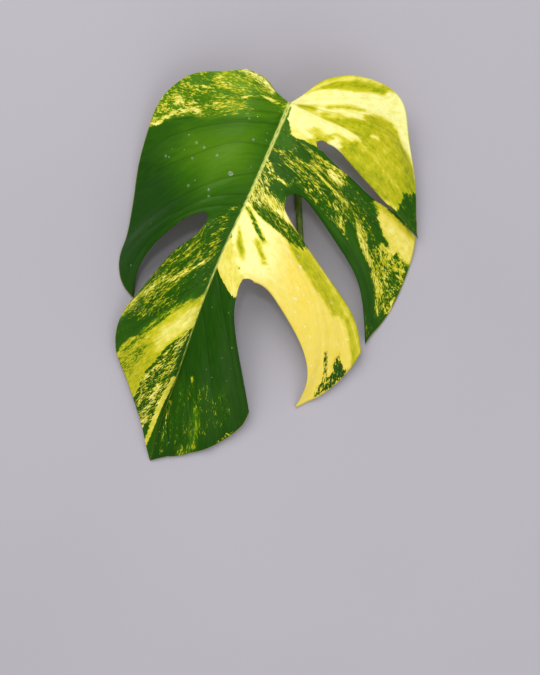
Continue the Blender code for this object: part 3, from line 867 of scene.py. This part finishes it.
def leaf_colours(tree):
    """The marbled colour of the blade and its vein coordinates: greens and pales are parted by
    noise stretched along the veins."""
    veins = tree.uv("veins")
    broad = tree.noise(tree.stretch(veins, (7.0, 22.0, 1.0)), 1.0, 4.0, 0.6, 0.3)
    fine = tree.noise(tree.stretch(veins, (30.0, 112.0, 1.0), (5.3, 1.9, 0)), 1.0, 4.0, 0.7, 0.4)
    field = tree.sway(tree.sway(tree.attribute("pale"), broad, 0.75), fine, 1.35)
    pale = tree.rise(field, 0.465, 0.55)
    halo = tree.rise(field, 0.3, 0.5)
    full = tree.rise(field, 0.5, 0.75)

    shade = tree.noise(tree.stretch(veins, (9.0, 40.0, 1.0), (3.1, 7.7, 0)), 1.0, 5.0, 0.6)
    green_level = tree.sway(tree.attribute("green"), shade, 0.28)
    green_level = tree.maths("MULTIPLY_ADD", halo, 0.22, green_level)
    greens = tree.ramp(green_level, GREENS)

    tint = tree.noise(tree.stretch(veins, (14.0, 50.0, 1.0), (11.3, 2.9, 0)), 1.0, 6.0, 0.75, 0.5)
    mottle = tree.noise(tree.position(), 170.0, 5.0, 0.6, 0.4)
    tint_level = tree.maths("MULTIPLY", tree.attribute("cream"),
                            tree.maths("MULTIPLY_ADD", full, 0.45, 0.55))
    tint_level = tree.sway(tree.sway(tint_level, tint, 1.0), mottle, 0.7)
    pales = tree.mix(tree.attribute("gold"), tree.ramp(tint_level, PALES), GOLD)
    return tree.mix(pale, greens, pales), veins


def upper_material():
    """The glossy upper side of the blade."""
    tree = Tree("leaf_blade_upper")
    colour, veins = leaf_colours(tree)
    # Painted shade: the side veins are darkened along their grooves, most on green; on pale parts it is
    # partly the veins' own olive colour
    on_green = tree.rise(tree.attribute("pale"), 0.2, 0.7, 0.5, 0.1)
    vein_shade_mark = tree.maths("MULTIPLY", tree.rise(tree.attribute("vein"), 0.4, 1.0), on_green)
    colour = tree.mix(vein_shade_mark, colour, PAINTED_VEIN_SHADE, "MULTIPLY")
    midrib = tree.attribute("midrib")
    along_midrib = tree.mix(tree.rise(midrib, 0.6, 0.9), MIDRIB_EDGE, MIDRIB_MIDDLE)
    colour = tree.mix(tree.rise(midrib, 0.0, 0.6, 0.0, 0.85), colour, along_midrib)
    # Painted highlight: a thin lighter line along the margin, where the rim catches the light
    margin = tree.rise(tree.attribute("margin"), 0.45, 1.0, 0.0, 0.55)
    colour = tree.mix(margin, colour, MARGIN_HIGHLIGHT)
    tree.set("Base Color", colour)

    patches = tree.noise(tree.position(), 60.0, 3.0, 0.55)
    tree.set("Roughness", tree.rise(patches, 0.3, 0.7, 0.3, 0.42))
    tree.set("Specular IOR Level", 0.16)
    tree.set("Specular Tint", (0.85, 1.0, 0.55, 1.0))
    lines = tree.noise(tree.stretch(veins, (4.0, 170.0, 1.0)), 1.0, 3.0, 0.6)
    grain = tree.cells(tree.position(), 1300.0)
    first = tree.bump(lines, 0.0002, 0.6)
    tree.set("Normal", tree.bump(grain, 0.0002, 0.25, first))
    return tree.material


def lower_material():
    """The paler and duller underside of the blade."""
    tree = Tree("leaf_blade_lower")
    colour, veins = leaf_colours(tree)
    colour = tree.mix(0.35, colour, LOWER_TINT)
    ribs = tree.maths("MAXIMUM", tree.attribute("midrib"),
                      tree.maths("MULTIPLY", tree.attribute("vein"), 0.7))
    colour = tree.mix(tree.maths("MULTIPLY", ribs, 0.7), colour, LOWER_RIBS)
    tree.set("Base Color", colour)
    patches = tree.noise(tree.position(), 60.0, 3.0, 0.55)
    tree.set("Roughness", tree.rise(patches, 0.3, 0.7, 0.5, 0.68))
    tree.set("Specular IOR Level", 0.3)
    lines = tree.noise(tree.stretch(veins, (4.0, 130.0, 1.0)), 1.0, 3.0, 0.6)
    tree.set("Normal", tree.bump(lines, 0.0003, 0.8))
    return tree.material


def petiole_material():
    """The satin stalk: green with pale streaks along it, darker at the knee."""
    tree = Tree("petiole_skin")
    along = tree.uv("along")
    pale_streak = tree.noise(tree.stretch(along, (1.6, 9.0, 1.0)), 1.0, 5.0, 0.62)
    knee = tree.attribute("knee")
    colour = tree.mix(tree.maths("MULTIPLY", knee, 0.55), tree.ramp(pale_streak, STALK_GREENS), KNEE_COLOUR)
    pith = tree.ramp(tree.cells(tree.position(), 1600.0), PITH_COLOURS)
    colour = tree.mix(tree.attribute("cut"), colour, pith)
    tree.set("Base Color", colour)
    tree.set("Roughness", tree.rise(pale_streak, 0.3, 0.7, 0.36, 0.52))
    tree.set("Specular IOR Level", 0.35)
    fibres = tree.noise(tree.stretch(along, (3.0, 60.0, 1.0)), 1.0, 3.0, 0.6)
    wrinkles = tree.noise(tree.stretch(along, (60.0, 3.0, 1.0)), 1.0, 3.0, 0.6)
    first = tree.bump(fibres, 0.0003, 0.6)
    second = tree.bump(tree.maths("MULTIPLY", wrinkles, knee), 0.0005, 0.6, first)
    tree.set("Normal", second)
    return tree.material


def water_material():
    """Water, clear but for a tenth of white diffuse: a painted brightening that stands in for the light
    each drop focuses onto the leaf.
    """
    tree = Tree("water")
    # Painted light: the white base colour shows in the tenth that is not transmitted and lightens each drop
    tree.set("Base Color", (1, 1, 1, 1))
    tree.set("Roughness", 0.02)
    tree.set("IOR", 1.33)
    tree.set("Transmission Weight", 0.9)
    return tree.material


def floor_material():
    """Plain pale lilac grey, faintly uneven like painted board."""
    tree = Tree("floor")
    uneven = tree.noise(tree.position(), 3.0, 2.0, 0.5)
    tree.set("Base Color", tree.ramp(uneven, FLOOR_COLOURS))
    tree.set("Roughness", 0.85)
    tree.set("Specular IOR Level", 0.1)
    return tree.material


# ---------------------------------------------------------------- stalk
PETIOLE_ROUTE = [(79, -146, 2.9), (60, -117, 2.6), (42, -87, 2.5), (29, -58, 2.6), (17, -34, 4.2),
                 (7, -17, 10.5), (1.8, -8.6, 19), (0, -5.6, 26.5), (-0.3, -5.3, 30.6)]
PETIOLE_RADIUS = 2.2
PETIOLE_CUT_RADIUS = 2.8
CUT_FLARE = 14.0
KNEE_RADIUS = 3.3
KNEE_LENGTH = 24.0
KNEE_FULL = 8.0
STALK_UV_UNIT = 10.0
WRINKLE_HEIGHT = 0.05
WRINKLE_RATE = 2.6
GROOVE_DEPTH = 0.07
GROOVE_WIDTH = 0.32
RIB_HEIGHT = 0.012
RIB_COUNT = 7
END_RINGS = (0.9, 0.6, 0.3)
PETIOLE_RINGS = 260
PETIOLE_SIDES = 40


def petiole_radius(distance, length):
    """Radius of the stalk at a distance from its cut end."""
    flare = (PETIOLE_CUT_RADIUS - PETIOLE_RADIUS) * math.exp(-distance / CUT_FLARE)
    into_knee = smoothstep(length - KNEE_LENGTH, length - KNEE_LENGTH / 2, distance)
    wrinkles = WRINKLE_HEIGHT * into_knee * math.sin(distance * WRINKLE_RATE)
    return PETIOLE_RADIUS + flare + (KNEE_RADIUS - PETIOLE_RADIUS) * into_knee + wrinkles


def build_petiole(material):
    """The stalk as a tube with a shallow groove along its upper side and a flat cut end."""
    centres = smooth_curve(PETIOLE_ROUTE, np.linspace(0, 1, PETIOLE_RINGS))
    lengths = chord_lengths(centres)
    ahead = np.gradient(centres, axis=0)
    ahead /= np.linalg.norm(ahead, axis=1)[:, None]
    mesh = bmesh.new()
    uv = mesh.loops.layers.uv.new("along")
    knee = mesh.verts.layers.float.new("knee")
    cut = mesh.verts.layers.float.new("cut")
    side = np.cross(ahead[0], (0, 0, 1))
    rings = []
    for centre, way, distance in zip(centres, ahead, lengths):
        side = side - way * (side @ way)
        side /= np.linalg.norm(side)
        up = np.cross(side, way)
        radius = petiole_radius(distance, lengths[-1])
        swollen = float(smoothstep(lengths[-1] - KNEE_LENGTH, lengths[-1] - KNEE_FULL, distance))
        ring = []
        for j in range(PETIOLE_SIDES):
            angle = 2 * math.pi * j / PETIOLE_SIDES
            groove = math.exp(-((angle - math.pi / 2) / GROOVE_WIDTH) ** 2)
            groove *= GROOVE_DEPTH * (1 - swollen)
            ribs = RIB_HEIGHT * (1 - swollen) * math.sin(RIB_COUNT * angle)
            out = radius * (1 - groove + ribs)
            point = centre + out * (math.cos(angle) * side + math.sin(angle) * up)
            vert = mesh.verts.new(point)
            vert[knee] = swollen
            ring.append(vert)
        rings.append(ring)
    for i, (this, after) in enumerate(zip(rings, rings[1:])):
        for j, face in enumerate(join_rings(mesh, this, after)):
            for loop, row, column in zip(face.loops, (i, i, i + 1, i + 1), (j, j + 1, j + 1, j)):
                loop[uv].uv = (lengths[row] / STALK_UV_UNIT, column / PETIOLE_SIDES)
    for ring, mark in ((rings[0], cut), (rings[-1], knee)):
        middle = sum((vert.co for vert in ring), Vector()) / len(ring)
        inner = ring
        for shrink in END_RINGS:
            smaller = [mesh.verts.new(middle + (vert.co - middle) * shrink) for vert in ring]
            join_rings(mesh, inner, smaller)
            for vert in smaller:
                vert[mark] = 1.0
            inner = smaller
        mesh.faces.new(inner)
    bmesh.ops.recalc_face_normals(mesh, faces=mesh.faces)
    data = mesh_data("petiole_detailed", mesh)
    shift = shift_onto_box(points_of(data), "petiole")
    data.transform(Matrix.Translation(shift) @ Matrix.Scale(MM, 4))
    finish_data(data, material)
    return add_object("petiole_detailed", data)


# ---------------------------------------------------------------- water drops
# Plan place and radius of the drops
DROPS = [(-48, -46.5, 1.08), (-42, -48, 0.96), (-32, -50, 1.08), (-19.5, -58, 1.56), (-65, -61, 0.96),
         (-62.5, -61, 0.72), (-47, -57, 0.84), (-43, -75, 0.96), (-29, -73, 0.96), (-27.5, -77, 0.84),
         (-55, -43, 0.72), (-13.5, -32, 0.96), (-21, -20, 0.84), (33.5, -94, 1.08), (38, -97, 0.96),
         (45, -99, 1.56), (48.5, -112, 1.2), (53.5, -114.5, 1.08), (50, -119, 1.56), (58.5, -118, 0.96),
         (60, -110.5, 1.08), (52.5, -127.5, 0.96), (62.5, -134, 1.08), (68, -139, 0.96),
         (69.5, -146.5, 1.08), (87, -137.5, 0.96), (92.5, -131.5, 0.96), (83, -146.5, 0.84),
         (73, -113, 0.84), (41.5, -92.5, 0.84), (30, -102.5, 0.96), (76, -157, 0.96),
         (79.5, -163.5, 0.84), (78.5, -166.5, 0.72), (23.5, -111.5, 0.84)]
# Finer drops strewn over the leaf's box; those that miss the blade are left out
SPRAY_COUNT = 150
SPRAY_SIZES = (0.3, 0.6)
DROP_RINGS = 7
DROP_SIDES = 18
DROP_FLATNESS = 0.62
DROP_STRETCH = 0.25
DROP_SINK = 0.05
DROP_ROUNDNESS = 0.8
DROP_TOP = 0.12
DROP_SEED = 5
RAY_HEIGHT = 1.0


def build_drops(blade, shift, material):
    """Water beads sitting on the blade, each a flattened dome with a flat foot."""
    graph = bpy.context.evaluated_depsgraph_get()
    tree = BVHTree.FromObject(blade, graph)
    rng = np.random.default_rng(DROP_SEED)
    mesh = bmesh.new()
    low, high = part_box("leaf_blade")
    spray = rng.uniform(((low - shift) / MM)[:2], ((high - shift) / MM)[:2], (SPRAY_COUNT, 2))
    sizes = rng.uniform(*SPRAY_SIZES, SPRAY_COUNT)
    for x, y, radius in DROPS + [(*place, size) for place, size in zip(spray, sizes)]:
        above = Vector((x * MM, y * MM, 0)) + shift
        above.z = RAY_HEIGHT
        hit, normal, _, _ = tree.ray_cast(above, Vector((0, 0, -1)))
        if hit is None:
            continue
        turn = normal.to_track_quat("Z", "Y").to_matrix()
        stretch = DROP_STRETCH * rng.random()
        way = 2 * math.pi * rng.random()
        rings = []
        for i in range(DROP_RINGS):
            angle = math.pi / 2 * (i / (DROP_RINGS - 1))
            out = radius * (math.cos(angle) ** DROP_ROUNDNESS if i < DROP_RINGS - 1 else DROP_TOP)
            height = radius * DROP_FLATNESS * math.sin(angle) - DROP_SINK
            ring = []
            for j in range(DROP_SIDES):
                around = 2 * math.pi * j / DROP_SIDES
                reach = out * (1 + stretch * math.cos(around - way) ** 2)
                local = Vector((reach * math.cos(around), reach * math.sin(around), height)) * MM
                ring.append(mesh.verts.new(hit + turn @ local))
            rings.append(ring)
        for this, after in zip(rings, rings[1:]):
            join_rings(mesh, this, after)
        mesh.faces.new(rings[0][::-1])
        mesh.faces.new(rings[-1])
    data = mesh_data("water_drops", mesh)
    finish_data(data, material)
    drops = add_object("water_drops", data)
    drops.visible_shadow = False
    drops.visible_diffuse = False
    return drops


# ---------------------------------------------------------------- studio
CAMERA_PLACE = Vector((43.06, -148.94, 1200)) * MM
CAMERA_TURN = math.radians(21)
CAMERA_LENS = 118.0
FLOOR_SIZE = 12.0
FLOOR_LEVEL = -0.0003
SKY_STRENGTH = 0.5


def add_camera(shift):
    """The camera straight above the leaf, turned as in the photograph."""
    data = bpy.data.cameras.new("camera")
    data.lens = CAMERA_LENS
    data.sensor_width = 36.0
    data.sensor_fit = "HORIZONTAL"
    camera = add_object("camera", data)
    camera.location = CAMERA_PLACE + shift
    camera.rotation_euler = (0, 0, CAMERA_TURN)
    bpy.context.scene.camera = camera


def add_light(name, place, size, power, colour):
    """A square area light at place, aimed at the leaf."""
    data = bpy.data.lights.new(name, "AREA")
    data.shape = "SQUARE"
    data.size = size
    data.energy = power
    data.color = colour
    light = add_object(name, data)
    light.location = place
    light.rotation_euler = (-Vector(place)).to_track_quat("-Z", "Y").to_euler()


def add_studio():
    """Floor, lights and a soft even sky."""
    mesh = bmesh.new()
    bmesh.ops.create_grid(mesh, x_segments=2, y_segments=2, size=FLOOR_SIZE)
    data = mesh_data("floor", mesh)
    data.materials.append(floor_material())
    floor = add_object("floor", data)
    floor.location = (0, 0, FLOOR_LEVEL)

    world = bpy.data.worlds.new("sky")
    world.use_nodes = True
    background = world.node_tree.nodes["Background"]
    background.inputs["Color"].default_value = (0.96, 0.98, 1.0, 1)
    background.inputs["Strength"].default_value = SKY_STRENGTH
    bpy.context.scene.world = world
    add_light("key_light", (-1.1, 0.9, 1.7), 1.6, 26.0, (1.0, 0.99, 0.97))
    add_light("fill_light", (1.5, -0.6, 1.5), 2.0, 16.0, (0.97, 0.98, 1.0))
    add_light("sheen_light", (-0.2, 0.3, 1.6), 0.16, 3.0, (0.95, 0.98, 1.0))
    bpy.context.scene.view_settings.view_transform = "Standard"


def finish_piece(piece, slot, *nodes):
    """Let a piece ride on the leaf's body and stand for its CAD nodes, which are hidden; its slot is not
    used.
    """
    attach(piece, "root")
    if nodes:
        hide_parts(*nodes)


blade, leaf_shift = build_blade(upper_material(), lower_material())
petiole = build_petiole(petiole_material())
bpy.context.view_layer.update()
drops = build_drops(blade, leaf_shift, water_material())
finish_piece(blade, "leaf_blade", "leaf_blade")
finish_piece(petiole, "petiole", "petiole")
finish_piece(drops, "water_drops")
add_studio()
add_camera(leaf_shift)
